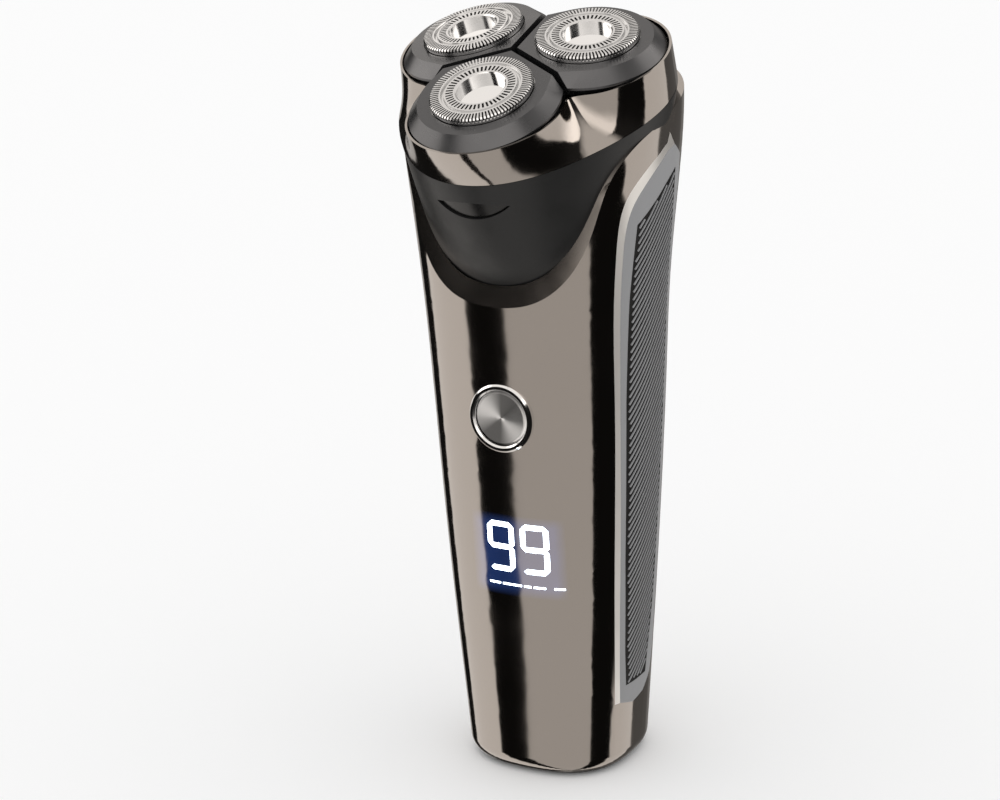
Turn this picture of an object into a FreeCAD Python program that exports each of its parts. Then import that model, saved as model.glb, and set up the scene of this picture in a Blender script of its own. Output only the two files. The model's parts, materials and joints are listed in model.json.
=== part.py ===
"""Rotary electric shaver with three round cutting heads on a tilting head unit.

The origin is the middle of the flat resting base, +Z is up, the front (power
button and display) faces -Y and +X is the right-hand side seen from the front.
All lengths are millimetres.
"""
import FreeCAD
import Part

import math
import os
import sys

import Sketcher
from FreeCAD import Placement, Rotation, Vector

sys.path.append(os.path.join(FreeCAD.getHomePath(), "Mod", "PartDesign"))
from fcgear.fcgear import FCWireBuilder
from fcgear.involute import CreateExternalGear

FRONT, RIGHT, LEFT = -90.0, 30.0, 150.0
HEADS = {"front": FRONT, "right": RIGHT, "left": LEFT}

SIZES = {
    # head unit: its own frame has +Z along the head axis, and depths are below its origin
    "head_centre_y": -11.95,
    "head_centre_z": 156.59,
    "head_lean": 21.4,
    "head_spacing": 15.06,
    "head_tip_out": 5.4,
    "parting": 13.7,
    "shell_rim": 5.0,
    "shell_waist": 9.0,
    "shell_lobe": 16.3,
    "rim_wall": 0.5,
    "waist_wall": 1.3,
    "shell_wall": 2.0,
    # shaving caps
    "cap_radius": 10.5,
    "cap_plate": 0.5,
    "cap_skirt": 3.1,
    "cap_flange": 11.2,
    "cap_flange_top": 2.4,
    "cap_bore": 4.95,
    "disc_top": 1.7,
    "disc_bottom": 2.1,
    "track_gap_in": 7.45,
    "track_gap_out": 8.15,
    "outer_slots": 90,
    "outer_slot_wide": 0.34,
    "inner_slots": 48,
    "inner_slot_wide": 0.42,
    # pads round the caps: three outlines, each a nose radius and a corner distance
    "pad_face": 13.3,
    "pad_face_corner": 14.6,
    "pad_face_level": 1.4,
    "pad_edge": 15.7,
    "pad_edge_corner": 17.4,
    "pad_edge_level": 3.95,
    "pad_edge_thick": 0.5,
    "pad_foot": 14.3,
    "pad_foot_corner": 15.7,
    "pad_foot_level": 6.2,
    "pad_gap": 0.8,
    "pad_bore": 10.7,
    # cutters
    "cutter_radius": 9.6,
    "carrier_top": 2.6,
    "carrier_bottom": 3.4,
    "hub_radius": 4.2,
    "hub_bottom": 6.4,
    "socket_radius": 3.0,
    "socket_top": 3.9,
    "blade_count": 15,
    "blade_wide": 0.45,
    "blade_tall": 2.05,
    # gear train
    "tooth_module": 0.5,
    "pinion_teeth": 24,
    "wheel_teeth": 36,
    "gear_bottom": 20.6,
    "gear_top": 17.6,
    "wheel_hub": 4.0,
    "wheel_foot": 21.2,
    "axle_radius": 1.5,
    "stem_flats": 4.0,
    "socket_flats": 4.1,
    "tip_radius": 1.4,
    "tip_hole": 2.6,
    # motor
    "motor_radius": 10.5,
    "motor_top": 23.0,
    "motor_bottom": 46.0,
    "core_radius": 7.6,
    "shaft_radius": 1.0,
    # collar below the head
    "deck_top": 13.8,
    "deck_bottom": 15.6,
    "neck_middle": 28.0,
    "neck_foot": 42.0,
    "collar_wall": 1.5,
    "housing_lobe": 10.6,
    "housing_room": 9.8,
    "housing_bottom": 22.8,
    "housing_floor": 21.4,
    # handle
    "handle_wall": 2.0,
    "skin": 1.0,
    "base_plate": 1.2,
    "base_round": 4.0,
    # hinge between head and collar
    "hinge_y": 29.9,
    "hinge_level": 13.75,
    "knuckle_radius": 1.7,
    "knuckle_room": 2.0,
    "lug_half": 8.0,
    "lug_length": 3.8,
    "pin_radius": 0.8,
    # power button
    "button_level": 82.0,
    "ring_radius": 7.3,
    "ring_inner": 5.95,
    "button_radius": 5.85,
    # electrics
    "cell_radius": 7.0,
    "cell_length": 50.0,
    "board_thick": 1.2,
    "contact_radius": 1.4,
    "screw_radius": 1.3,
}

doc = FreeCAD.newDocument("rotary_shaver")
sheet = doc.addObject("Spreadsheet::Sheet", "Sizes")
for row, (alias, amount) in enumerate(SIZES.items(), 1):
    sheet.set("A%d" % row, alias)
    sheet.set("B%d" % row, str(amount))
    sheet.setAlias("B%d" % row, alias)
doc.recompute()

nodes = []


def size(*terms):
    """Add signed alias names and numbers: returns the value and its expression."""
    value = 0.0
    text = "0"
    for term in terms:
        if isinstance(term, str):
            minus = term.startswith("-")
            name = term.lstrip("-")
            value += -SIZES[name] if minus else SIZES[name]
            text += (" - " if minus else " + ") + "Sizes." + name
        else:
            value += term
            text += " - %g" % -term if term < 0 else " + %g" % term
    return value, text


def terms_of(entry):
    """Read a coordinate given as one alias or number, or as a tuple of them."""
    return size(*entry) if isinstance(entry, tuple) else size(entry)


def keep(item, label):
    """Name a finished piece and list it for export."""
    item.Label = label
    nodes.append(item)
    return item


def own_shape(name, shape, placement=Placement()):
    """A piece or tool whose surface no sketch can carry."""
    item = doc.addObject("Part::Feature", name)
    item.Shape = shape
    item.Placement = placement
    return item


def plane_of(body, role):
    """The named origin plane of a body."""
    return next(feature for feature in body.Origin.OriginFeatures if feature.Role == role)


def profile_sketch(body, role, points):
    """A closed outline in a body whose every corner is bound to the sizes."""
    sketch = body.newObject("Sketcher::SketchObject", body.Name + "_profile")
    sketch.AttachmentSupport = (plane_of(body, role), "")
    sketch.MapMode = "FlatFace"
    corners = [(terms_of(across), terms_of(along)) for across, along in points]
    count = len(corners)
    for index in range(count):
        start, end = corners[index], corners[(index + 1) % count]
        sketch.addGeometry(Part.LineSegment(Vector(start[0][0], start[1][0], 0),
                                            Vector(end[0][0], end[1][0], 0)), False)
    for index in range(count):
        sketch.addConstraint(Sketcher.Constraint("Coincident", index, 2, (index + 1) % count, 1))
    for index, corner in enumerate(corners):
        for kind, axis, (value, text) in (("DistanceX", -2, corner[0]), ("DistanceY", -1, corner[1])):
            if abs(value) < 1e-9:
                sketch.addConstraint(Sketcher.Constraint("PointOnObject", index, 1, axis))
            else:
                number = sketch.addConstraint(Sketcher.Constraint(kind, -1, 1, index, 1, value))
                sketch.setExpression("Constraints[%d]" % number, text)
    return sketch


def turned(name, profile):
    """A body turned about its own Z axis from (radius, height) corners."""
    body = doc.addObject("PartDesign::Body", name)
    sketch = profile_sketch(body, "XZ_Plane", profile)
    spin = body.newObject("PartDesign::Revolution", name + "_turn")
    spin.Profile = sketch
    spin.ReferenceAxis = (sketch, ["V_Axis"])
    spin.Angle = 360
    sketch.Visibility = False
    return body


def block(name, corner, extent):
    """A box from its low corner and its three extents, all bound to the sizes."""
    item = doc.addObject("Part::Box", name)
    for side, entry in zip(("Length", "Width", "Height"), extent):
        item.setExpression(side, terms_of(entry)[1])
    for axis, entry in zip("xyz", corner):
        item.setExpression("Placement.Base." + axis, terms_of(entry)[1])
    return item


def rod(name, radius, length, placement=Placement()):
    """A cylinder along its own Z axis."""
    item = doc.addObject("Part::Cylinder", name)
    item.setExpression("Radius", terms_of(radius)[1])
    item.setExpression("Height", terms_of(length)[1])
    item.Placement = placement
    return item


def cut(name, base, *tools):
    """The base with every tool taken away."""
    for number, tool in enumerate(tools):
        item = doc.addObject("Part::Cut", "%s_%d" % (name, number))
        item.Base = base
        item.Tool = tool
        item.Refine = False
        base = item
    return base


def common(name, base, tool):
    """The part two solids share."""
    item = doc.addObject("Part::Common", name)
    item.Base = base
    item.Tool = tool
    item.Refine = False
    return item


def fused(name, *items):
    """Several solids joined into one."""
    item = doc.addObject("Part::MultiFuse", name)
    item.Shapes = list(items)
    item.Refine = False
    return item


def grouped(name, *items):
    """Several separate identical solids that share one file."""
    item = doc.addObject("Part::Compound", name)
    item.Links = list(items)
    return item


# ---------------------------------------------------------------- frames

HEAD = Placement(Vector(0, SIZES["head_centre_y"], SIZES["head_centre_z"]),
                 Rotation(Vector(1, 0, 0), SIZES["head_lean"]))


def in_head(x=0.0, y=0.0, level=0.0):
    """A place in the head unit's frame."""
    return HEAD * Placement(Vector(x, y, level), Rotation())


def at_lobe(angle, level=0.0):
    """A place on a shaving head's centre line, upright in the head unit."""
    reach = SIZES["head_spacing"]
    along = Vector(reach * math.cos(math.radians(angle)), reach * math.sin(math.radians(angle)), level)
    return HEAD * Placement(along, Rotation(Vector(0, 0, 1), angle))


def on_pad(angle):
    """The frame of one shaving head, tipped outward from the middle."""
    return at_lobe(angle) * Placement(Vector(), Rotation(Vector(0, 1, 0), SIZES["head_tip_out"]))


def smooth_ring(points):
    """A closed smooth curve through the points."""
    curve = Part.BSplineCurve()
    even = [step / len(points) for step in range(len(points) + 1)]
    curve.interpolate(Points=points, PeriodicFlag=True, Parameters=even)
    return Part.Wire(curve.toShape())


def polar_ring(radius_at, level, count=24):
    """A closed curve whose radius depends on the direction."""
    points = []
    for step in range(count):
        angle = 2 * math.pi * (step + 0.5) / count
        reach = radius_at(angle)
        points.append(Vector(reach * math.cos(angle), reach * math.sin(angle), level))
    return smooth_ring(points)


def side_region(name, edge, closing, smooth=True):
    """A prism across the whole width from an outline in the side view (y, z)."""
    points = [Vector(-60, y, z) for y, z in edge]
    if smooth:
        curve = Part.BSplineCurve()
        curve.interpolate(points)
        edges = [curve.toShape()]
    else:
        edges = [Part.makeLine(a, b) for a, b in zip(points, points[1:])]
    corners = [points[-1]] + [Vector(-60, y, z) for y, z in closing] + [points[0]]
    edges += [Part.makeLine(a, b) for a, b in zip(corners, corners[1:])]
    return own_shape(name, Part.Face(Part.Wire(edges)).extrude(Vector(120, 0, 0)))


# ---------------------------------------------------------------- handle

# height, half width, reach to the front, reach to the back
HANDLE_SECTIONS = [
    (0, 18.5, 17.5, 17.5),
    (25, 20.4, 18.8, 18.5),
    (55, 22.4, 20.5, 20.1),
    (90, 24.1, 22.4, 22.2),
    (122, 26.4, 24.7, 24.2),
    (145, 28.8, 25.4, 23.0),
    (158, 29.2, 25.2, 17.4),
]
SQUARENESS = 2.5


def handle_solid(inset):
    """The outer form of the handle, drawn in by an even amount."""
    rings = []
    for height, half, front, back in HANDLE_SECTIONS:
        points = []
        for step in range(24):
            angle = 2 * math.pi * (step + 0.5) / 24
            across, along = math.cos(angle), math.sin(angle)
            reach = (back if along > 0 else front) - inset
            scale = (abs(across / (half - inset)) ** SQUARENESS + abs(along / reach) ** SQUARENESS)
            radius = scale ** (-1 / SQUARENESS)
            points.append(Vector(radius * across, radius * along, height))
        rings.append(smooth_ring(points))
    return Part.makeLoft(rings, True, False)


outer = handle_solid(0)
foot_edges = [edge for edge in outer.Edges if edge.BoundBox.ZMax < 0.01]
rounded = outer.makeFillet(SIZES["base_round"], foot_edges)
form = own_shape("handle_form", rounded)
under_skin = own_shape("handle_under_skin", handle_solid(SIZES["skin"]))
hollow_full = own_shape("handle_hollow_full", handle_solid(SIZES["handle_wall"]))
above_base = block("above_base", (-50, -50, "base_plate"), (100, 100, 200))
hollow = common("handle_hollow", hollow_full, above_base)

# the shoulder falls from the sides of the head down to a low point in front
SHOULDER = [(-28, 95), (-24, 105), (-21.6, 111), (-19.3, 118.5), (-17.9, 126), (-16.0, 133),
            (-10, 139.3), (-2.7, 142.0), (3.2, 144.2), (16, 149.2), (30, 154.7)]
below_shoulder = side_region("below_shoulder", SHOULDER, [(60, 154.7), (60, -10), (-60, -10), (-60, 95)])

# side view outlines (y, z) of the trim band and of the grip inside it
TRIM_FRONT = [(-8.0, -5), (-9.1, 16), (-10.7, 40), (-11.7, 64), (-12.6, 86), (-13.4, 99), (-13.8, 107.5),
              (-14.0, 116), (-13.9, 122.5), (-12.7, 127.6), (-9.6, 131.4), (-4.7, 134.6)]
TRIM_BACK = [(-7.7, 16), (-9.3, 39.5), (-10.3, 63), (-11.3, 85.5), (-11.9, 98.5), (-12.3, 107),
             (-12.4, 115), (-12.2, 121), (-10.9, 125.8), (-7.8, 129.6), (-3.2, 132.9)]
HORN_TIP = [(0.2, 137), (3.2, 144), (3.4, 170)]
TRIM_TOP = (1.06, 139)
GRIP_TOP = [(0.8, 135.2)]
GRIP_BACK = [(4.0, 136.0), (8.4, 133.2), (9.6, 128), (9.8, 115), (9.2, 85), (8.0, 50), (7.0, 24),
             (5.4, 18.6), (1.8, 15.4), (-3.0, 14.6)]
panel_zone = side_region("panel_zone", TRIM_FRONT, HORN_TIP + [(-60, 170), (-60, -5)])
grip_zone = side_region("grip_zone", TRIM_BACK, GRIP_TOP + GRIP_BACK)
dress_zone = side_region("dress_zone", [(-20, 16), (-20, 139)],
                         [TRIM_TOP] + GRIP_BACK + [TRIM_BACK[0]], smooth=False)


def neck_radius(level):
    """Outline of the neck at one level as a function of the direction."""
    shapes = {
        "parting": lambda a: 28.8 + 1.7 * math.cos(3 * (a + math.pi / 2)) + 1.4 * math.sin(a),
        "middle": lambda a: 25.9 - 1.2 * math.sin(a) + 1.2 * math.cos(3 * (a + math.pi / 2)),
        "foot": lambda a: 22.5 - 3.0 * math.sin(a),
    }
    return shapes[level]


def neck_solid(inset):
    """The neck that carries the head, drawn in by an even amount."""
    rings = [
        polar_ring(lambda a: neck_radius("parting")(a) - inset, -SIZES["deck_top"]),
        polar_ring(lambda a: neck_radius("middle")(a) - inset, -SIZES["neck_middle"]),
        polar_ring(lambda a: neck_radius("foot")(a) - inset, -SIZES["neck_foot"]),
    ]
    return Part.makeLoft(rings, True, False)


neck = own_shape("neck_form", neck_solid(0), HEAD)
neck_core = own_shape("neck_core", neck_solid(SIZES["collar_wall"]), HEAD)

body_form = common("handle_body", common("handle_low", form, below_shoulder), above_base)

button_hole = rod("button_hole", "ring_radius", 12,
                  Placement(Vector(0, -12, SIZES["button_level"]), Rotation(Vector(1, 0, 0), 90)))
button_hole.setExpression("Placement.Base.z", "Sizes.button_level")
panel_solid = common("panel_solid", body_form, panel_zone)
keep(cut("front_panel", panel_solid, hollow, neck, button_hole), "front_panel")

skin_layer = cut("skin_layer", body_form, under_skin)
rear_solid = cut("rear_solid", body_form, panel_zone)
keep(cut("rear_shell", rear_solid, common("dress_layer", skin_layer, dress_zone), hollow, neck), "rear_shell")
skin_behind = cut("skin_behind", skin_layer, panel_zone)

right_half = block("right_half", (0, -60, -10), (60, 120, 220))
left_half = block("left_half", (-60, -60, -10), (60, 120, 220))
SIDES = (("left", left_half), ("right", right_half))
trim_band = cut("trim_band", common("trim_layer", skin_behind, dress_zone), grip_zone, neck)
for side, half in SIDES:
    keep(common("side_trim_" + side, trim_band, half), "side_trim_" + side)

grip_layer = common("grip_layer", skin_behind, grip_zone)
grip_band = cut("grip_band", grip_layer, neck)
for side, half in SIDES:
    keep(common("side_grip_" + side, grip_band, half), "side_grip_" + side)

base_blank = cut("base_blank", form, above_base)
plug = common("base_plug", hollow, block("plug_slab", (-50, -50, "base_plate"), (100, 100, 5)))
contact_holes = grouped("contact_holes", *[
    rod("contact_hole_" + side, "contact_radius", 20, Placement(Vector(x, -4, -5), Rotation()))
    for side, x in (("left", -4.5), ("right", 4.5))])
screw_holes = grouped("screw_holes", *[
    rod("screw_hole_" + side, "screw_radius", 20, Placement(Vector(x, 5, -5), Rotation()))
    for side, x in (("left", -11), ("right", 11))])
keep(cut("base_cap", base_blank, contact_holes, screw_holes), "base_cap")
keep(cut("base_insert", plug, contact_holes, screw_holes), "base_insert")
keep(grouped("charge_contacts", *[
    rod("contact_" + side, "contact_radius", 7.5, Placement(Vector(x, -4, 0.3), Rotation()))
    for side, x in (("left", -4.5), ("right", 4.5))]), "charge_contacts")
keep(grouped("base_screws", *[
    rod("screw_" + side, "screw_radius", 9.0, Placement(Vector(x, 5, 0.4), Rotation()))
    for side, x in (("left", -11), ("right", 11))]), "base_screws")

# ---------------------------------------------------------------- inside the handle

chassis_plate = common("chassis_plate", hollow, block("chassis_slab", (-50, -1, 9), (100, 1.8, 89)))
CRADLES = (30.0, 68.0)
cradles = [block("cradle_%d" % n, (-9, 0.8, z), (18, 6, 3)) for n, z in enumerate(CRADLES)]
POSTS = [(-11, 28), (11, 28), (-11, 92), (11, 92)]
posts = [rod("post_%d" % n, 1.6, 6.8, Placement(Vector(x, -1, z), Rotation(Vector(1, 0, 0), 90)))
         for n, (x, z) in enumerate(POSTS)]
cell_place = Placement(Vector(0, 8.8, 24), Rotation())
chassis = fused("chassis_solid", chassis_plate, *(cradles + posts))
keep(cut("chassis", chassis, rod("cell_room", "cell_radius", "cell_length", cell_place)), "chassis")
keep(rod("battery_cell", "cell_radius", "cell_length", cell_place), "battery_cell")
keep(block("main_board", (-13.5, -9, 22), (27, "board_thick", 76)), "main_board")
keep(block("display_module", (-12, -15.4, 40), (24, 6.4, 21)), "display_module")
keep(block("tact_switch", (-3, -11.8, 79), (6, 2.8, 6)), "tact_switch")

BUTTON = Placement(Vector(0, 0, SIZES["button_level"]), Rotation(Vector(1, 0, 0), 90))
ring = turned("button_ring", [
    ("ring_inner", 18.1), (8.4, 18.1), (8.4, 19.0), ("ring_radius", 19.0), ("ring_radius", 22.3),
    (6.9, 22.75), (6.3, 22.75), ("ring_inner", 22.4)])
ring.Placement = BUTTON
keep(ring, "button_ring")
button = turned("power_button", [
    (0, 12.7), (1.8, 12.7), (1.8, 17.1), (6.8, 17.1), (6.8, 17.9), ("button_radius", 17.9),
    ("button_radius", 21.9), (5.3, 22.4), (0, 22.1)])
button.Placement = BUTTON
keep(button, "power_button")

# ---------------------------------------------------------------- collar and gear housing


def lobe_rods(name, radius, bottom, top):
    """The same upright cylinder on each shaving head's centre line."""
    return [rod("%s_%s" % (name, head), radius, (top - bottom), at_lobe(angle, bottom))
            for head, angle in HEADS.items()]


deck_slab = rod("deck_slab", 40, "deck_bottom", in_head(level=-60))
deck_slab.setExpression("Height", "60 - Sizes.deck_bottom")
collar_blank = cut("collar_blank", neck, common("neck_void", neck_core, deck_slab))


def crescent(name, half, end, top, bottom):
    """A crescent prism toward the front: half width, level of its ends, top and bottom."""
    corner = Vector(half, 0, end)
    mirrored = Vector(-half, 0, end)
    arcs = [Part.Arc(mirrored, Vector(0, 0, top), corner).toShape(),
            Part.Arc(corner, Vector(0, 0, bottom), mirrored).toShape()]
    return own_shape(name, Part.Face(Part.Wire(arcs)).extrude(Vector(0, -40, 0)), HEAD)


def on_hinge(x):
    """A place on the hinge line with its axis along X."""
    return (in_head(x, SIZES["hinge_y"], -SIZES["hinge_level"]) *
            Placement(Vector(), Rotation(Vector(0, 1, 0), 90)))


latch_room = crescent("latch_room", 8.2, -19.0, -17.9, -21.8)
latch_form = crescent("latch_form", 7.9, -19.05, -18.1, -21.6)
LUGS = {"left": -8.0, "right": 4.2}
lug_rods = [rod("collar_lug_" + side, "knuckle_radius", "lug_length", on_hinge(x)) for side, x in LUGS.items()]
lug_webs = []
for side, x in LUGS.items():
    web = Part.makeBox(SIZES["lug_length"], 4.4, 1.6, Vector(x, 25.6, -15.45))
    lug_webs.append(own_shape("collar_web_" + side, web, HEAD))
collar_lugged = fused("collar_lugged", collar_blank, *(lug_rods + lug_webs))
shell_lug_room = rod("shell_lug_room", "knuckle_room", 8.4, on_hinge(-4.2))
pin_place = on_hinge(-SIZES["lug_half"])
pin_bore = rod("collar_pin_bore", "pin_radius", 16, pin_place)
tip_holes = grouped("tip_holes", *lobe_rods("tip_hole", "tip_hole", -17, -12))
keep(cut("collar", collar_lugged, tip_holes, latch_room, shell_lug_room, pin_bore), "collar")
latch_skin = own_shape("latch_skin", neck_solid(0.5), HEAD)
latch_blank = common("latch_blank", latch_skin, latch_form)
latch_core = own_shape("latch_core", neck_solid(2.0), HEAD)
keep(cut("release_button", latch_blank, latch_core), "release_button")
keep(rod("hinge_pin", "pin_radius", 16, pin_place), "hinge_pin")

seal = turned("tip_seal_blank", [(1.55, -15.4), ("tip_hole", -15.4), ("tip_hole", -14.0), (1.55, -14.0)])

floor, bottom = -SIZES["housing_floor"], -SIZES["housing_bottom"]
deck = -SIZES["deck_bottom"]
outer_rods = lobe_rods("housing_lobe", "housing_lobe", bottom, deck)
inner_rods = lobe_rods("housing_room", "housing_room", floor, deck)
middle = rod("housing_middle", 9.0, ("housing_bottom", "-deck_bottom"), in_head(level=bottom))
middle_room = rod("housing_middle_room", 8.0, ("housing_floor", "-deck_bottom"), in_head(level=floor))
axle_holes = lobe_rods("axle_hole", "axle_radius", bottom - 0.2, -19.8)
shaft_hole = rod("shaft_hole", ("shaft_radius", 0.1), 4, in_head(level=-24))
keep(cut("gear_housing", fused("housing_outer", middle, *outer_rods),
         fused("housing_inner", middle_room, *inner_rods),
         grouped("axle_holes", *axle_holes), shaft_hole), "gear_housing")
keep(grouped("gear_axles", *lobe_rods("axle", "axle_radius", bottom, -19.7)), "gear_axles")

# ---------------------------------------------------------------- motor

can = turned("motor_can", [
    (1.2, "-housing_bottom"), (3.0, "-housing_bottom"), (3.0, "-motor_top"), ("motor_radius", "-motor_top"),
    ("motor_radius", "-motor_bottom"), (9.5, "-motor_bottom"), (9.5, -24.0), (1.2, -24.0)])
can.Placement = HEAD
keep(can, "motor_can")
bell = turned("motor_end_bell", [
    (1.2, -44.2), (9.5, -44.2), (9.5, "-motor_bottom"), (10.0, "-motor_bottom"), (10.0, -46.6), (1.2, -46.6)])
bell.Placement = HEAD
keep(bell, "motor_end_bell")
shaft = turned("motor_shaft", [(0, -48), ("shaft_radius", -48), ("shaft_radius", -17.0), (0, -17.0)])
shaft.Placement = HEAD
keep(shaft, "motor_shaft")
core = turned("motor_core", [
    ("shaft_radius", -42), ("core_radius", -42), ("core_radius", -26), ("shaft_radius", -26)])
core.Placement = HEAD
keep(core, "motor_core")


def gear_teeth(teeth, bottom, top, turn):
    """A spur gear blank between two levels."""
    builder = FCWireBuilder()
    CreateExternalGear(builder, SIZES["tooth_module"], teeth, 20.0, True)
    wire = Part.Wire([curve.toShape() for curve in builder.wire])
    blank = Part.Face(wire).extrude(Vector(0, 0, top - bottom))
    blank.rotate(Vector(), Vector(0, 0, 1), turn)
    blank.translate(Vector(0, 0, bottom))
    return blank


gear_low, gear_high = -SIZES["gear_bottom"], -SIZES["gear_top"]
pinion = gear_teeth(SIZES["pinion_teeth"], gear_low, gear_high, 0.0)
pinion = pinion.cut(Part.makeCylinder(SIZES["shaft_radius"], 10, Vector(0, 0, -25)))
keep(own_shape("drive_pinion", pinion, HEAD), "drive_pinion")



def hexagon(flats, level, height):
    """A six sided prism from its width across flats."""
    reach = flats / 2 / math.cos(math.pi / 6)
    corners = [Vector(reach * math.cos(math.pi * n / 3), reach * math.sin(math.pi * n / 3), level)
               for n in range(7)]
    return Part.Face(Part.makePolygon(corners)).extrude(Vector(0, 0, height))


hex_room = hexagon(SIZES["socket_flats"], -19.4, 5)
hex_stem = hexagon(SIZES["stem_flats"], -18.4, 2.2)
tip = Part.makeCylinder(SIZES["tip_radius"], 10.0, Vector(0, 0, -16.3))
tip = tip.fuse(Part.makeSphere(SIZES["tip_radius"], Vector(0, 0, -6.3)))
coupler = hex_stem.fuse(tip)
for head, angle in HEADS.items():
    # the pinion shows each wheel a tooth, so the wheel is turned by half a tooth pitch
    wheel = gear_teeth(SIZES["wheel_teeth"], gear_low, gear_high, 180.0 / SIZES["wheel_teeth"])
    wheel = wheel.fuse(Part.makeCylinder(3.0, 0.7, Vector(0, 0, -SIZES["wheel_foot"])))
    wheel = wheel.fuse(Part.makeCylinder(SIZES["wheel_hub"], 1.3, Vector(0, 0, -17.7)))
    wheel = wheel.cut(Part.makeCylinder(1.55, 2.0, Vector(0, 0, -21.6)))
    wheel = wheel.cut(hex_room)
    keep(own_shape("drive_wheel_" + head, wheel, at_lobe(angle)), "drive_wheel_" + head)
    keep(own_shape("drive_coupler_" + head, coupler, at_lobe(angle)), "drive_coupler_" + head)

# ---------------------------------------------------------------- head shell


def lobes_radius(reach):
    """A smooth outline round three circles on the shaving head centres."""
    spacing = SIZES["head_spacing"]

    def radius(angle):
        total = 0.0
        for lobe in HEADS.values():
            away = angle - math.radians(lobe)
            side = spacing * math.sin(away)
            total += (spacing * math.cos(away) + math.sqrt(reach ** 2 - side ** 2)) ** 18
        return total ** (1 / 18)
    return radius


def shell_solid(rim_wall, waist_wall, foot_wall, over):
    """The head shell's form drawn in by three walls and lengthened at both ends."""
    lobes = lobes_radius(SIZES["shell_lobe"])
    parting = neck_radius("parting")
    rings = [
        polar_ring(lambda a: parting(a) - foot_wall, -SIZES["parting"] - over, 48),
        polar_ring(lambda a: 0.62 * lobes(a) + 0.38 * parting(a) - waist_wall, -SIZES["shell_waist"], 48),
        polar_ring(lambda a: lobes(a) - rim_wall, -SIZES["shell_rim"] + over, 48),
    ]
    return Part.makeLoft(rings, True, False)


shell_form = own_shape("shell_form", shell_solid(0, 0, 0, 0), HEAD)
shell_void = own_shape("shell_void", shell_solid(SIZES["rim_wall"], SIZES["waist_wall"],
                                                 SIZES["shell_wall"], 0.1), HEAD)
shell_lug = rod("shell_lug", "knuckle_radius", 8, on_hinge(-4.0))
shell_web = own_shape("shell_web", Part.makeBox(8, 3.2, 1.5, Vector(-4, 26.7, -SIZES["parting"])), HEAD)
lug_rooms = [rod("lug_room_" + side, "knuckle_room", 4.2, on_hinge(x))
             for side, x in (("left", -8.2), ("right", 4.0))]
shell_pin_bore = rod("shell_pin_bore", ("pin_radius", 0.06), 20, on_hinge(-10))
shell_ring = cut("shell_ring", shell_form, shell_void)
keep(cut("head_shell", fused("shell_lugged", shell_ring, shell_lug, shell_web),
         grouped("lug_rooms", *lug_rooms), shell_pin_bore), "head_shell")
frame_slab = rod("frame_slab", 40, 1.4, in_head(level=-12.4))
frame_holes = grouped("frame_holes", *lobe_rods("frame_hole", 6.0, -14, -9))
knob_hole = rod("knob_hole", 3.05, 5, in_head(level=-14))
keep(cut("head_frame", common("frame_blank", shell_void, frame_slab), frame_holes, knob_hole), "head_frame")
knob = turned("knob_body", [(0, -13.5), (5.2, -13.5), (5.2, -12.6), (3.0, -12.6), (3.0, -10.6), (4.2, -10.6),
                            (4.2, -9.9), (0, -9.9)])
knob.Placement = HEAD
grip_bar = own_shape("knob_bar", Part.makeBox(8.0, 1.2, 1.0, Vector(-4, -0.6, -9.95)), HEAD)
keep(fused("lock_knob_solid", knob, grip_bar), "lock_knob")

# ---------------------------------------------------------------- shaving heads


def pad_outline(face, corner, level):
    """One pad's outline: a round nose, two straight flanks and a point at the middle."""
    spacing, gap = SIZES["head_spacing"], SIZES["pad_gap"]
    inner = -spacing + gap / math.sin(math.pi / 3)
    flank = Vector(-spacing + corner / 2 + gap * 0.87, corner * math.sin(math.pi / 3) - gap / 2, level)
    away = math.hypot(flank.x, flank.y)
    touch = math.atan2(flank.y, flank.x) - math.acos(face / away)
    nose = Vector(face * math.cos(touch), face * math.sin(touch), level)
    low_nose = Vector(nose.x, -nose.y, level)
    low_flank = Vector(flank.x, -flank.y, level)
    point = Vector(inner, 0, level)
    arc = Part.Arc(nose, Vector(face, 0, level), low_nose).toShape()
    return Part.Wire([Part.makeLine(point, flank), Part.makeLine(flank, nose), arc,
                      Part.makeLine(low_nose, low_flank), Part.makeLine(low_flank, point)])


EDGE_BOTTOM = SIZES["pad_edge_level"] + SIZES["pad_edge_thick"]
outlines = [
    pad_outline(SIZES["pad_face"], SIZES["pad_face_corner"], -SIZES["pad_face_level"]),
    pad_outline(SIZES["pad_edge"], SIZES["pad_edge_corner"], -SIZES["pad_edge_level"]),
    pad_outline(SIZES["pad_edge"], SIZES["pad_edge_corner"], -EDGE_BOTTOM),
    pad_outline(SIZES["pad_foot"], SIZES["pad_foot_corner"], -SIZES["pad_foot_level"]),
]
layers = [Part.makeLoft([upper, lower], True, True) for upper, lower in zip(outlines, outlines[1:])]
pad = layers[0].multiFuse(layers[1:])
pad = pad.cut(Part.makeCylinder(SIZES["pad_bore"], 20, Vector(0, 0, -10)))
pad = pad.cut(Part.makeCylinder(SIZES["cap_flange"] + 0.1, 8, Vector(0, 0, -10.4)))

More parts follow.
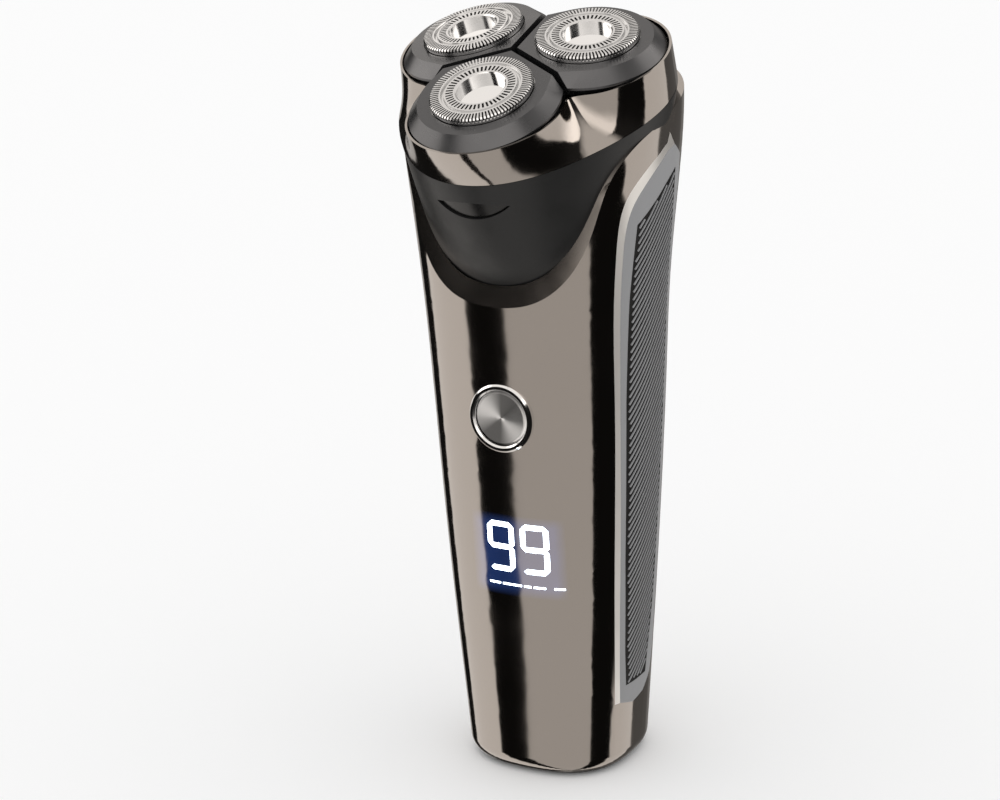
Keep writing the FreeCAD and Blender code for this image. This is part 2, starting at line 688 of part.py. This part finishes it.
cap_blank = turned("cap_blank", [
    ("cap_bore", "-disc_top"), ("cap_bore", -0.2), (5.2, 0), ("track_gap_in", 0), (7.65, -0.55),
    (7.95, -0.55), ("track_gap_out", 0), (10.2, 0), ("cap_radius", -0.3),
    ("cap_radius", "-cap_flange_top"), ("cap_flange", "-cap_flange_top"), ("cap_flange", "-cap_skirt"),
    (10.1, "-cap_skirt"), (10.1, "-cap_plate"), (8.45, "-cap_plate"), (8.2, -1.0), (7.4, -1.0),
    (7.15, "-cap_plate"), (5.45, "-cap_plate"), (5.45, -2.2), ("cap_bore", -2.2)])
slots = []
TRACKS = ((SIZES["outer_slots"], SIZES["outer_slot_wide"], 8.5, 11.0),
          (SIZES["inner_slots"], SIZES["inner_slot_wide"], 5.6, 7.1))
for count, wide, start, end in TRACKS:
    for number in range(count):
        slot = Part.makeBox(end - start, wide, 1.0, Vector(start, -wide / 2, -0.9))
        slot.rotate(Vector(), Vector(0, 0, 1), 360.0 * number / count)
        slots.append(slot)
slot_set = own_shape("cap_slots", Part.makeCompound(slots))
cap_slotted = cut("cap_slotted", cap_blank, slot_set)
disc = turned("cap_disc_blank", [(0, "-disc_bottom"), ("cap_bore", "-disc_bottom"),
                                ("cap_bore", "-disc_top"), (0, "-disc_top")])

cutter_base = turned("cutter_base", [
    (0, "-carrier_top"), ("cutter_radius", "-carrier_top"), ("cutter_radius", "-carrier_bottom"),
    ("hub_radius", "-carrier_bottom"), ("hub_radius", "-hub_bottom"), ("socket_radius", "-hub_bottom"),
    ("socket_radius", "-socket_top"), (0, "-socket_top")])
doc.recompute()
cutter = cutter_base.Shape
blades = []
for number in range(SIZES["blade_count"]):
    for start, end in ((8.6, 9.5), (5.75, 6.95)):
        corner = Vector(start, -SIZES["blade_wide"] / 2, -2.67)
        blade = Part.makeBox(end - start, SIZES["blade_wide"], SIZES["blade_tall"], corner)
        blade.rotate(Vector(), Vector(0, 0, 1), 360.0 / SIZES["blade_count"] * number)
        blades.append(blade)
cutter = cutter.multiFuse(blades)

for head, angle in HEADS.items():
    place = on_pad(angle)
    keep(own_shape("pad_" + head, pad, place), "pad_" + head)
    keep(own_shape("cap_" + head, cap_slotted.Shape, place), "cap_" + head)
    keep(own_shape("cap_disc_" + head, disc.Shape, place), "cap_disc_" + head)
    keep(own_shape("cutter_" + head, cutter, place), "cutter_" + head)
seals = [own_shape("tip_seal_" + head, seal.Shape, at_lobe(angle)) for head, angle in HEADS.items()]
keep(grouped("tip_seals", *seals), "tip_seals")

doc.recompute()
os.makedirs("parts", exist_ok=True)
for item in nodes:
    shape = item.Shape
    if shape.isNull() or not shape.isValid() or set(item.State) & {"Invalid", "Error"}:
        raise RuntimeError("piece %s did not build" % item.Label)
    shape.exportStep("parts/%s.step" % item.Label)
print("pieces:", len(nodes))
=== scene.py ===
"""Looks of the rotary shaver: finishes, grip ribs, lit digits, floor, light and camera.

In the design's frame: +Z up, the front faces -Y. Sizes and places are given in millimetres
and turned into metres by MM.
"""

import json
import math

import bpy
from mathutils import Matrix, Vector
from mathutils.bvhtree import BVHTree


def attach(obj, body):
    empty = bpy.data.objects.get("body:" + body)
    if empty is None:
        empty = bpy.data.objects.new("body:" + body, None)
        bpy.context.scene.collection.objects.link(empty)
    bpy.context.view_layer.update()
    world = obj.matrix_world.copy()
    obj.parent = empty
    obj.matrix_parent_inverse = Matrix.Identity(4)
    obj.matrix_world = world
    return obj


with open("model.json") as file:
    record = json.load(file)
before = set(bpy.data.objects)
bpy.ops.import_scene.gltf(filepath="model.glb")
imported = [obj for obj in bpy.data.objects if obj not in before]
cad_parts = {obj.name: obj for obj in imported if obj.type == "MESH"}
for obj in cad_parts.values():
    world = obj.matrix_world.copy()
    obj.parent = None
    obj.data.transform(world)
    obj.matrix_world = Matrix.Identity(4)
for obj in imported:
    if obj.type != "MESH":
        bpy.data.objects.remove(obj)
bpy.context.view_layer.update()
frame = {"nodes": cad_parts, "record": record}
nodes = frame["nodes"]
MM = 0.001

# ---------------------------------------------------------------- node trees


class NodeNet:
    """Adds nodes to one node tree and joins them."""

    def __init__(self, tree):
        self.tree = tree

    def add(self, kind, **settings):
        """A new node with the given settings."""
        node = self.tree.nodes.new(kind)
        for key, value in settings.items():
            setattr(node, key, value)
        return node

    def link(self, source, target):
        """Join an output to an input."""
        self.tree.links.new(source, target)

    def math(self, operation, first, second=None):
        """A sum on one or two values, each a number or another node's output."""
        node = self.add("ShaderNodeMath", operation=operation)
        for socket, value in zip(node.inputs, (first, second)):
            if value is None:
                continue
            if isinstance(value, (int, float)):
                socket.default_value = value
            else:
                self.link(value, socket)
        return node.outputs["Value"]

    def ranged(self, source, low, high, start=0.3, end=0.7, **settings):
        """Map a value from the range start to end onto the range low to high."""
        node = self.add("ShaderNodeMapRange", **settings)
        node.inputs["From Min"].default_value = start
        node.inputs["From Max"].default_value = end
        node.inputs["To Min"].default_value = low
        node.inputs["To Max"].default_value = high
        self.link(source, node.inputs["Value"])
        return node.outputs["Result"]


# ---------------------------------------------------------------- finishes


class Finish(NodeNet):
    """A node material built step by step."""

    def __init__(self, name, colour=(0.8, 0.8, 0.8), rough=0.5, metal=0.0, **inputs):
        self.material = bpy.data.materials.new(name)
        self.material.use_nodes = True
        super().__init__(self.material.node_tree)
        self.shader = self.tree.nodes["Principled BSDF"]
        self.set("Base Color", (*colour, 1))
        self.set("Roughness", rough)
        self.set("Metallic", metal)
        for key, value in inputs.items():
            self.set(key.replace("_", " "), value)
        self.place = self.add("ShaderNodeTexCoord").outputs["Object"]

    def set(self, name, value):
        """Give one of the shader's inputs a fixed value."""
        self.shader.inputs[name].default_value = value

    def noise(self, scale, detail=3.0, stretch=None):
        """Noise in the object's own frame; stretch scales the three axes."""
        node = self.add("ShaderNodeTexNoise")
        node.inputs["Scale"].default_value = scale
        node.inputs["Detail"].default_value = detail
        place = self.place
        if stretch:
            mapping = self.add("ShaderNodeMapping")
            mapping.inputs["Scale"].default_value = stretch
            self.link(place, mapping.inputs["Vector"])
            place = mapping.outputs["Vector"]
        self.link(place, node.inputs["Vector"])
        return node.outputs["Fac"]

    def worn(self, low, high, scale=90.0):
        """Roughness that drifts a little across the surface."""
        self.link(self.ranged(self.noise(scale), low, high), self.shader.inputs["Roughness"])
        return self

    def bumped(self, height, strength, distance=0.00004):
        """Fine relief in the shading from a height, with the distance in metres."""
        bump = self.add("ShaderNodeBump")
        bump.inputs["Strength"].default_value = strength
        bump.inputs["Distance"].default_value = distance
        self.link(height, bump.inputs["Height"])
        self.link(bump.outputs["Normal"], self.shader.inputs["Normal"])
        return self

    def tinted(self, dark, light, source):
        """Base colour mixed between two colours by a value."""
        ramp = self.add("ShaderNodeValToRGB")
        ramp.color_ramp.elements[0].color = (*dark, 1)
        ramp.color_ramp.elements[1].color = (*light, 1)
        self.link(source, ramp.inputs["Fac"])
        self.link(ramp.outputs["Color"], self.shader.inputs["Base Color"])
        return self


def gunmetal(name="gunmetal"):
    """Dark warm metallic lacquer with a fine flake under a clear coat."""
    finish = Finish(name, metal=1.0, Coat_Weight=0.6, Coat_Roughness=0.03)
    flake = finish.noise(9000.0, 1.0)
    finish.tinted((0.33, 0.30, 0.275), (0.39, 0.355, 0.325), flake)
    return finish.worn(0.06, 0.12, 60.0).bumped(flake, 0.02, 0.00001)


# the display window on the front panel: opposite corners in x and z, and its soft edge
WINDOW_LOW = (-9.2 * MM, 42.0 * MM)
WINDOW_HIGH = (12.4 * MM, 60.6 * MM)
WINDOW_SOFT = 2.2 * MM


def window_mask(finish):
    """One inside the display window, fading to nothing over its soft edge."""
    split = finish.add("ShaderNodeSeparateXYZ")
    finish.link(finish.place, split.inputs["Vector"])
    mask = 1.0
    for axis, start, end in zip("XZ", WINDOW_LOW, WINDOW_HIGH):
        for edge, inner in ((start, start + WINDOW_SOFT), (end, end - WINDOW_SOFT)):
            step = finish.ranged(split.outputs[axis], 0.0, 1.0, edge, inner)
            mask = finish.math("MULTIPLY", step, mask)
    return mask


def lit_panel():
    """The front panel: gunmetal with a faint blue glow in the display window."""
    finish = gunmetal("gunmetal_panel")
    finish.set("Emission Color", (0.05, 0.13, 0.5, 1))
    strength = finish.ranged(finish.noise(150.0), 0.17, 0.23)
    glow = finish.math("MULTIPLY", window_mask(finish), strength)
    finish.link(glow, finish.shader.inputs["Emission Strength"])
    return finish


def matte_black(name="matte_black", shade=0.012):
    """Finely grained dark plastic, in any shade of grey."""
    finish = Finish(name, (shade, shade, shade), Specular_IOR_Level=0.38)
    return finish.worn(0.34, 0.44, 200.0).bumped(finish.noise(5000.0, 2.0), 0.25, 0.00003)


def rubber():
    """Soft grey grip rubber."""
    finish = Finish("soft_rubber", (0.24, 0.24, 0.245), Sheen_Weight=0.15)
    return finish.worn(0.5, 0.66, 150.0).bumped(finish.noise(3500.0, 3.0), 0.3, 0.00003)


def bright_metal(name, colour, low, high, grain=(1, 1, 1), scale=900.0, strength=0.1):
    """Bare metal between two roughnesses; grain stretches its fine marks."""
    finish = Finish(name, colour, metal=1.0)
    return finish.worn(low, high, 120.0).bumped(finish.noise(scale, 2.0, grain), strength, 0.00002)


BUTTON_CENTRE = (0, -22.4 * MM, 82 * MM)
RING_PITCH = 0.22 * MM
# turn of the painted highlight fan on the button's face
PAINTED_FAN_TURN = 0.45  # radians


def spun_metal():
    """Fine rings round the button's axis, with a painted highlight: a fan of light painted into
    the base colour.
    """
    finish = Finish("spun_metal", rough=0.3, metal=1.0, Anisotropic=0.95)
    offset = finish.add("ShaderNodeVectorMath", operation="SUBTRACT")
    offset.inputs[1].default_value = BUTTON_CENTRE
    finish.link(finish.place, offset.inputs[0])
    split = finish.add("ShaderNodeSeparateXYZ")
    finish.link(offset.outputs["Vector"], split.inputs["Vector"])
    across, level = split.outputs["X"], split.outputs["Z"]
    squares = [finish.math("MULTIPLY", part, part) for part in (across, level)]
    radius = finish.math("SQRT", finish.math("ADD", *squares))
    rings = finish.math("SINE", finish.math("MULTIPLY", radius, 2 * math.pi / RING_PITCH))
    finish.bumped(rings, 0.15, 0.00001)
    # painted highlight: the base colour runs from dark to light in a fan round the button's axis
    turn = finish.math("ADD", finish.math("ARCTAN2", level, across), PAINTED_FAN_TURN)
    painted_fan = finish.math("COSINE", finish.math("MULTIPLY", turn, 2.0))
    finish.tinted((0.2, 0.2, 0.2), (0.9, 0.9, 0.9), finish.ranged(painted_fan, 0.0, 1.0, -0.7, 1.0))
    tangent = finish.add("ShaderNodeCombineXYZ")
    finish.link(finish.math("MULTIPLY", level, -1.0), tangent.inputs["X"])
    finish.link(across, tangent.inputs["Z"])
    finish.link(tangent.outputs["Vector"], finish.shader.inputs["Tangent"])
    return finish


GUNMETAL = gunmetal()
PANEL = lit_panel()
BLACK = matte_black()
PAD = Finish("pad_satin", (0.1, 0.1, 0.103), metal=0.9).worn(0.25, 0.32, 200.0)
PAD.bumped(PAD.noise(4000.0, 2.0), 0.1, 0.00002)
# painted shade: the release button is near-black gloss so that it reads as the dark shade of its
# recess
LATCH_RECESS_SHADE = Finish("latch_painted_recess_shade", (0.004, 0.004, 0.004)).worn(0.16, 0.26)
LATCH_RECESS_SHADE.bumped(LATCH_RECESS_SHADE.noise(3000.0, 2.0), 0.05, 0.00002)
BLADE = bright_metal("blade_steel", (0.16, 0.16, 0.16), 0.3, 0.42)
RUBBER = rubber()
# painted shade: a near-black, barely glossy sheet that darkens the grooves between the ribs
GROOVE_SHADE = matte_black("painted_groove_shade", 0.003)
GROOVE_SHADE.set("Specular IOR Level", 0.12)
TRIM = bright_metal("satin_trim", (0.8, 0.79, 0.77), 0.3, 0.4, (1, 1, 0.05), 4000.0)
CHROME = bright_metal("chrome", (0.86, 0.86, 0.86), 0.03, 0.07, strength=0.02)
CAP = bright_metal("cap_steel", (0.7, 0.7, 0.7), 0.14, 0.24, scale=6000.0, strength=0.03)
STEEL = bright_metal("turned_steel", (0.55, 0.55, 0.55), 0.25, 0.38, (1, 1, 8), 2500.0)
BRASS = bright_metal("brass", (0.78, 0.56, 0.25), 0.2, 0.32, scale=3000.0)
SPUN = spun_metal()
MOULDED = matte_black("moulded_grey", 0.06)
ACETAL = Finish("acetal", (0.8, 0.79, 0.75), Subsurface_Weight=0.05).worn(0.35, 0.5)
ACETAL.bumped(ACETAL.noise(3000.0), 0.1)
WRAP = Finish("cell_wrap", (0.05, 0.16, 0.34), Coat_Weight=0.4).worn(0.2, 0.34)
WRAP.bumped(WRAP.noise(800.0), 0.05)
BOARD = Finish("solder_mask", (0.02, 0.17, 0.07)).worn(0.3, 0.45)
BOARD.bumped(BOARD.noise(2500.0), 0.12)

FINISHES = {
    "gunmetal_gloss": GUNMETAL, "black_matte": BLACK, "side_rubber": RUBBER, "light_trim": TRIM,
    "bright_ring": CHROME, "spun_metal": SPUN, "cap_steel": CAP, "frame_plastic": MOULDED,
    "gear_plastic": ACETAL, "pinion_brass": BRASS, "plain_steel": STEEL, "cell_wrap": WRAP,
    "board_green": BOARD,
}
SLOT_OF = {part["node"]: part["material_slot"] for part in frame["record"]["subparts"]}

# ---------------------------------------------------------------- painting and smoothing

SHARP = math.radians(32)


def paint(item, finish):
    """Give a piece one finish."""
    item.data.materials.clear()
    item.data.materials.append(finish.material)


def sharp_edges(mesh):
    """True for every edge whose two faces meet at more than the sharp angle."""
    normals_at = {}
    for face in mesh.polygons:
        for key in face.edge_keys:
            normals_at.setdefault(key, []).append(face.normal)
    found = []
    for edge in mesh.edges:
        normals = normals_at.get(tuple(sorted(edge.vertices)), [])
        flat = len(normals) == 2 and normals[0].angle(normals[1], 0.0) < SHARP
        found.append(not flat)
    return found


def smooth(item):
    """Shade a piece smoothly between its sharp edges."""
    for face in item.data.polygons:
        face.use_smooth = True
    for edge, sharp in zip(item.data.edges, sharp_edges(item.data)):
        edge.use_edge_sharp = sharp


for name, item in nodes.items():
    paint(item, FINISHES[SLOT_OF[name]])
    if name.startswith("pad_"):
        paint(item, PAD)
    if name.startswith("cutter_"):
        paint(item, BLADE)
    smooth(item)
paint(nodes["front_panel"], PANEL)
paint(nodes["release_button"], LATCH_RECESS_SHADE)

# ---------------------------------------------------------------- added pieces

# rays start this far from the middle of the shaver, clear of every side
OUTSIDE = 60


def tree_of(item):
    """The piece's faces, ready for casting rays at them."""
    vertices = [vertex.co for vertex in item.data.vertices]
    return BVHTree.FromPolygons(vertices, [tuple(face.vertices) for face in item.data.polygons])


def outward(item):
    """Turn every face to point away from the solid."""
    bpy.context.view_layer.objects.active = item
    item.select_set(True)
    bpy.ops.object.mode_set(mode="EDIT")
    bpy.ops.mesh.select_all(action="SELECT")
    bpy.ops.mesh.normals_make_consistent(inside=False)
    bpy.ops.object.mode_set(mode="OBJECT")
    item.select_set(False)


def add_piece(name, vertices, faces, finish, slot):
    """A closed piece that rides on the handle."""
    mesh = bpy.data.meshes.new(name)
    mesh.from_pydata(vertices, [], faces)
    mesh.validate()
    item = bpy.data.objects.new(name, mesh)
    bpy.context.scene.collection.objects.link(item)
    paint(item, finish)
    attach(item, "handle")
    outward(item)


# ---------------------------------------------------------------- grip ribs

# the ribbed field on each grip, seen from the side: its lower edge, its front and back
# edges as (level, y), and its slanting upper edge
FIELD_FOOT = 20
FIELD_FRONT = [(20, -5.6), (28, -6.5), (49.5, -7.9), (85, -9.2), (106.5, -9.4), (122, -8.6)]
FIELD_BACK = [(20, 2.0), (36.5, 4.0), (60, 5.2), (85, 6.2), (103, 6.6), (118, 6.6), (131, 5.0)]
TOP_CORNER = (-9.0, 121.5)
TOP_SLOPE = 0.62

# ribs climb at 45 degrees towards the back; the first one crosses y = RIB_START at level
# RIB_FOOT; a rib is laid through the stations that lie in the field, if there are enough
RIB_COUNT = 90
RIB_PITCH = 1.6
RIB_START = -8
RIB_FOOT = 8
RIB_STATIONS = [n * 0.5 for n in range(-24, 20)]
RIB_SHORTEST = 4

# a rib's section: its width, its crest's share of it, and how far it stands out and sinks in
RIB_WIDE = 0.44
CREST_SHARE = 0.7
RIB_OUT = 0.26
RIB_ROOT = -0.25

# the dark bed, a near-black sheet of painted shade for the grooves between the ribs: spans up and
# across, its margins round the field, the lift of its two faces, and the first guess and number of
# passes that fit its rows under the slanting edge
BED_UP = 60
BED_ACROSS = 8
BED_FOOT_MARGIN = 0.4
BED_TOP_MARGIN = 0.8
BED_SIDE_MARGIN = 0.5
BED_OUT = 0.06
BED_ROOT = -0.2
BED_FIRST_TOP = 120
BED_PASSES = 4


def along(table, level):
    """Straight-line reading of a (level, y) table."""
    for (low, first), (high, second) in zip(table, table[1:]):
        if level <= high:
            return first + (second - first) * (level - low) / (high - low)
    return table[-1][1]


def field_top(y):
    """Level of the field's slanting upper edge."""
    return TOP_CORNER[1] + (y - TOP_CORNER[0]) * TOP_SLOPE


def in_field(y, level):
    """Whether a point of the grip lies inside the ribbed field."""
    inside = along(FIELD_FRONT, level) < y < along(FIELD_BACK, level)
    return inside and FIELD_FOOT < level < field_top(y)


def on_grip(tree, side, y, level, lift):
    """The point of the grip's outer surface at (y, level), lifted off it sideways."""
    start = Vector((side * OUTSIDE, y, level)) * MM
    spot = tree.ray_cast(start, Vector((-side, 0, 0)))[0]
    return spot + Vector((side * lift * MM, 0, 0))


def rib_shape(tree, side):
    """Slanting raised ribs that follow the grip's surface, all in one piece."""
    vertices, faces = [], []
    half = RIB_WIDE / 2 / math.sqrt(2)
    crest = half * CREST_SHARE
    section = ((RIB_ROOT, -half), (RIB_OUT, -crest), (RIB_OUT, crest), (RIB_ROOT, half))
    for number in range(RIB_COUNT):
        foot = RIB_FOOT + number * RIB_PITCH
        run = [(y, foot + y - RIB_START) for y in RIB_STATIONS]
        run = [(y, level) for y, level in run if in_field(y, level)]
        if len(run) < RIB_SHORTEST:
            continue
        start = len(vertices)
        for y, level in run:
            vertices += [on_grip(tree, side, y + aside, level - aside, lift)
                         for lift, aside in section]
        last = start + (len(run) - 1) * 4
        for low in range(start, last, 4):
            for a in range(4):
                b = (a + 1) % 4
                faces.append((low + a, low + b, low + 4 + b, low + 4 + a))
        faces.append((start, start + 3, start + 2, start + 1))
        faces.append((last, last + 1, last + 2, last + 3))
    return vertices, faces


def bed_places():
    """Rows of (y, level) points that fill the field and its margins."""
    rows = []
    for row in range(BED_UP + 1):
        share = row / BED_UP
        across = []
        for n in range(BED_ACROSS + 1):
            level = FIELD_FOOT - BED_FOOT_MARGIN + share * (BED_FIRST_TOP - FIELD_FOOT)
            for _ in range(BED_PASSES):
                front = along(FIELD_FRONT, level) - BED_SIDE_MARGIN
                back = along(FIELD_BACK, level) + BED_SIDE_MARGIN
                y = front + (back - front) * n / BED_ACROSS
                rise = field_top(y) + BED_TOP_MARGIN - FIELD_FOOT
                level = FIELD_FOOT - BED_FOOT_MARGIN + share * rise
            across.append((y, level))
        rows.append(across)
    return rows


def bed_shape(tree, side):
    """A thin near-black sheet under the ribs that follows the grip's surface: painted shade for
    the grooves.
    """
    rows = bed_places()
    vertices = [on_grip(tree, side, y, level, lift)
                for lift in (BED_OUT, BED_ROOT) for row in rows for y, level in row]
    wide, tall = BED_ACROSS + 1, BED_UP + 1
    under = wide * tall
    faces = []
    for row in range(tall - 1):
        for n in range(wide - 1):
            a = row * wide + n
            faces.append((a, a + 1, a + 1 + wide, a + wide))
            faces.append((a + under, a + wide + under, a + 1 + wide + under, a + 1 + under))
    rim = list(range(wide))
    rim += [row * wide + wide - 1 for row in range(1, tall)]
    rim += [(tall - 1) * wide + n for n in range(wide - 2, -1, -1)]
    rim += [row * wide for row in range(tall - 2, 0, -1)]
    for a, b in zip(rim, rim[1:] + rim[:1]):
        faces.append((a, a + under, b + under, b))
    return vertices, faces


for side_name, side in (("left", -1), ("right", 1)):
    grip_tree = tree_of(nodes["side_grip_" + side_name])
    add_piece("ribs_" + side_name, *rib_shape(grip_tree, side), RUBBER, "side_rubber")
    add_piece("painted_groove_shade_" + side_name, *bed_shape(grip_tree, side), GROOVE_SHADE, "side_rubber")

# ---------------------------------------------------------------- display

GLOW = Finish("lit_segment", (0.9, 0.95, 1.0), 0.3)
GLOW.set("Emission Color", (0.72, 0.86, 1.0, 1))
GLOW.link(GLOW.ranged(GLOW.noise(120.0), 6.0, 7.5), GLOW.shader.inputs["Emission Strength"])

# lit tiles: how far they stand out and sink in, and their segments' share of full width
TILE_OUT = 0.1
TILE_ROOT = -0.25
TIP_SHARE = 0.06
BODY_SHARE = 0.95
BODY_SPANS = 4
DIGIT = dict(bottom=47.6, wide=6.3, tall=11.2, thick=1.15)
DIGIT_LEFTS = {"digit_left": -5.1, "digit_right": 2.7}
DASH_LEVEL = 44.5
DASH_THICK = 0.4
DASH_SPANS = 3
DASHES = [(-5.2, 2.6), (-2.0, 4.4), (3.0, 1.6), (5.2, 2.6), (9.6, 2.2)]

panel_tree = tree_of(nodes["front_panel"])


def on_panel(x, level, proud):
    """The point of the front panel at (x, level), moved forwards off it."""
    spot = panel_tree.ray_cast(Vector((x, -OUTSIDE, level)) * MM, Vector((0, 1, 0)))[0]
    return spot + Vector((0, -proud * MM, 0))


def curved_bar(rows):
    """A thin closed tile that hugs the panel, from pairs of (x, z) points across its width."""
    points, faces = [], []
    for pair in rows:
        for proud in (TILE_OUT, TILE_ROOT):
            points += [on_panel(x, z, proud) for x, z in pair]
    last = (len(rows) - 1) * 4
    for low in range(0, last, 4):
        for a, b in ((0, 1), (1, 3), (3, 2), (2, 0)):
            faces.append((low + a, low + b, low + 4 + b, low + 4 + a))
    faces += [(0, 2, 3, 1), (last, last + 1, last + 3, last + 2)]
    return points, faces


def segment(centre, length, wide, upright):
    """A display segment with pointed ends, as crossing pairs along its length."""
    half, reach = wide / 2, length / 2
    body = 2 * reach - 2 * half
    steps = [(-reach + half + n * body / BODY_SPANS, BODY_SHARE) for n in range(BODY_SPANS + 1)]
    rows = []
    for place, share in [(-reach, TIP_SHARE), *steps, (reach, TIP_SHARE)]:
        ends = [(place, -half * share), (place, half * share)]
        rows.append([(centre[0] + b, centre[1] + a) if upright else (centre[0] + a, centre[1] + b)
                     for a, b in ends])
    return rows


def nine(left, bottom, wide, tall, thick):
    """The lit segments of one digit nine."""
    middle, mid_x = bottom + tall / 2, left + wide / 2
    reach, rise = wide - thick, (tall - thick) / 2
    edge = thick / 2
    lying = [(mid_x, level) for level in (bottom + edge, middle, bottom + tall - edge)]
    standing = [(left + wide - edge, middle - rise / 2), (left + wide - edge, middle + rise / 2),
                (left + edge, middle + rise / 2)]
    return ([segment(centre, reach, thick, False) for centre in lying]
            + [segment(centre, rise, thick, True) for centre in standing])


def dash(x, length):
    """A plain lit bar in place of a caption."""
    places = [x + length * n / DASH_SPANS for n in range(DASH_SPANS + 1)]
    return [[(place, DASH_LEVEL), (place, DASH_LEVEL + DASH_THICK)] for place in places]


def tiles(name, outlines):
    """Several lit tiles in one piece."""
    vertices, faces = [], []
    for rows in outlines:
        points, sides = curved_bar(rows)
        start = len(vertices)
        vertices += points
        faces += [tuple(start + index for index in side) for side in sides]
    add_piece(name, vertices, faces, GLOW, "gunmetal_gloss")


for name, left in DIGIT_LEFTS.items():
    tiles(name, nine(left, **DIGIT))
tiles("display_dashes", [dash(x, length) for x, length in DASHES])

# ---------------------------------------------------------------- floor

FLOOR_SIDE = 8000 * MM
FLOOR_THICK = 10 * MM

bpy.ops.mesh.primitive_cube_add(size=1, location=(0, 0, -FLOOR_THICK / 2))
floor = bpy.context.object
floor.name = "floor"
floor.scale = (FLOOR_SIDE, FLOOR_SIDE, FLOOR_THICK)
paint(floor, Finish("pale_floor", (0.97, 0.97, 0.97), 0.7, Specular_IOR_Level=0.0))
floor.visible_glossy = False
bpy.context.scene.view_settings.view_transform = "Standard"

# ---------------------------------------------------------------- light

# what polished surfaces see: upright soft panels and dark gaps round the studio,
# given as (azimuth in degrees from the front towards +X, brightness)
PANELS = [(-180, 0.2), (-150, 0.45), (-128, 0.01), (-103, 1.1), (-47, 0.008), (-26, 0.76),
          (60, 0.008), (103, 1.0), (150, 0.12)]
# half the blend between two panels, as a share of a full turn
PANEL_BLEND = 0.6 / 360

# panels brighten upwards by up to LIFT; above them hangs one even overhead light
LIFT = 2.4
LIFT_END = 0.45
OVERHEAD_START = 0.55
OVERHEAD_END = 0.75
OVERHEAD = (0.95, 0.95, 0.95, 1)
WARMTH = (1.0, 0.95, 0.90, 1)


def panel_strips(net, turn):
    """Brightness round the horizon, with a short blend at each panel's edge."""
    strips = net.add("ShaderNodeValToRGB")
    stops = strips.color_ramp.elements
    marks = []
    for index, (azimuth, value) in enumerate(PANELS):
        place = azimuth / 360 + 0.5
        if index:
            marks.append((place - PANEL_BLEND, PANELS[index - 1][1]))
        marks.append((place + PANEL_BLEND, value))
    while len(stops) < len(marks):
        stops.new(0.5)
    for stop, (place, value) in zip(stops, marks):
        stop.position = min(max(place, 0), 1)
        stop.color = (value, value, value, 1)
    net.link(turn, strips.inputs["Fac"])
    return strips.outputs["Color"]


def studio_colour(net):
    """Colour of the studio in every direction, as polished surfaces see it."""
    split = net.add("ShaderNodeSeparateXYZ")
    net.link(net.add("ShaderNodeTexCoord").outputs["Generated"], split.inputs["Vector"])
    across, back, up = (split.outputs[axis] for axis in "XYZ")
    azimuth = net.math("ARCTAN2", across, net.math("MULTIPLY", back, -1.0))
    turn = net.math("ADD", net.math("DIVIDE", azimuth, 2 * math.pi), 0.5)
    sides = net.add("ShaderNodeVectorMath", operation="SCALE")
    net.link(panel_strips(net, turn), sides.inputs[0])
    lift = net.ranged(up, 1.0, LIFT, 0.0, LIFT_END, interpolation_type="SMOOTHSTEP")
    net.link(lift, sides.inputs["Scale"])
    overhead = net.ranged(up, 0.0, 1.0, OVERHEAD_START, OVERHEAD_END,
                          interpolation_type="SMOOTHSTEP")
    seen = net.add("ShaderNodeMix", data_type="RGBA")
    net.link(overhead, seen.inputs["Factor"])
    net.link(sides.outputs["Vector"], seen.inputs["A"])
    seen.inputs["B"].default_value = OVERHEAD
    warm = net.add("ShaderNodeMix", data_type="RGBA", blend_type="MULTIPLY")
    warm.inputs["Factor"].default_value = 1.0
    net.link(seen.outputs["Result"], warm.inputs["A"])
    warm.inputs["B"].default_value = WARMTH
    return warm.outputs["Result"]


def studio_world():
    """Even white light, with the studio's panels for polished surfaces only."""
    world = bpy.data.worlds.new("studio")
    bpy.context.scene.world = world
    world.use_nodes = True
    world.node_tree.nodes.clear()
    net = NodeNet(world.node_tree)
    mirror = net.add("ShaderNodeBackground")
    net.link(studio_colour(net), mirror.inputs["Color"])
    soft = net.add("ShaderNodeBackground")
    soft.inputs["Color"].default_value = (1, 1, 1, 1)
    pick = net.add("ShaderNodeMixShader")
    net.link(net.add("ShaderNodeLightPath").outputs["Is Glossy Ray"], pick.inputs["Fac"])
    net.link(soft.outputs["Background"], pick.inputs[1])
    net.link(mirror.outputs["Background"], pick.inputs[2])
    net.link(pick.outputs["Shader"], net.add("ShaderNodeOutputWorld").inputs["Surface"])


studio_world()

# ---------------------------------------------------------------- camera

CAMERA_PLACE = Vector((236.34, -450.26, 237.80)) * MM
CAMERA_AIM = Vector((-12.31, 0, 78.07)) * MM
CAMERA_ROLL = Matrix.Rotation(math.radians(-1.95), 4, "Z")

lens = bpy.data.cameras.new("camera")
lens.lens = 90.1
lens.sensor_width = 36
lens.clip_start = 0.01
camera = bpy.data.objects.new("camera", lens)
bpy.context.scene.collection.objects.link(camera)
aim = (CAMERA_AIM - CAMERA_PLACE).to_track_quat("-Z", "Y").to_matrix().to_4x4()
camera.matrix_world = Matrix.Translation(CAMERA_PLACE) @ aim @ CAMERA_ROLL
bpy.context.scene.camera = camera
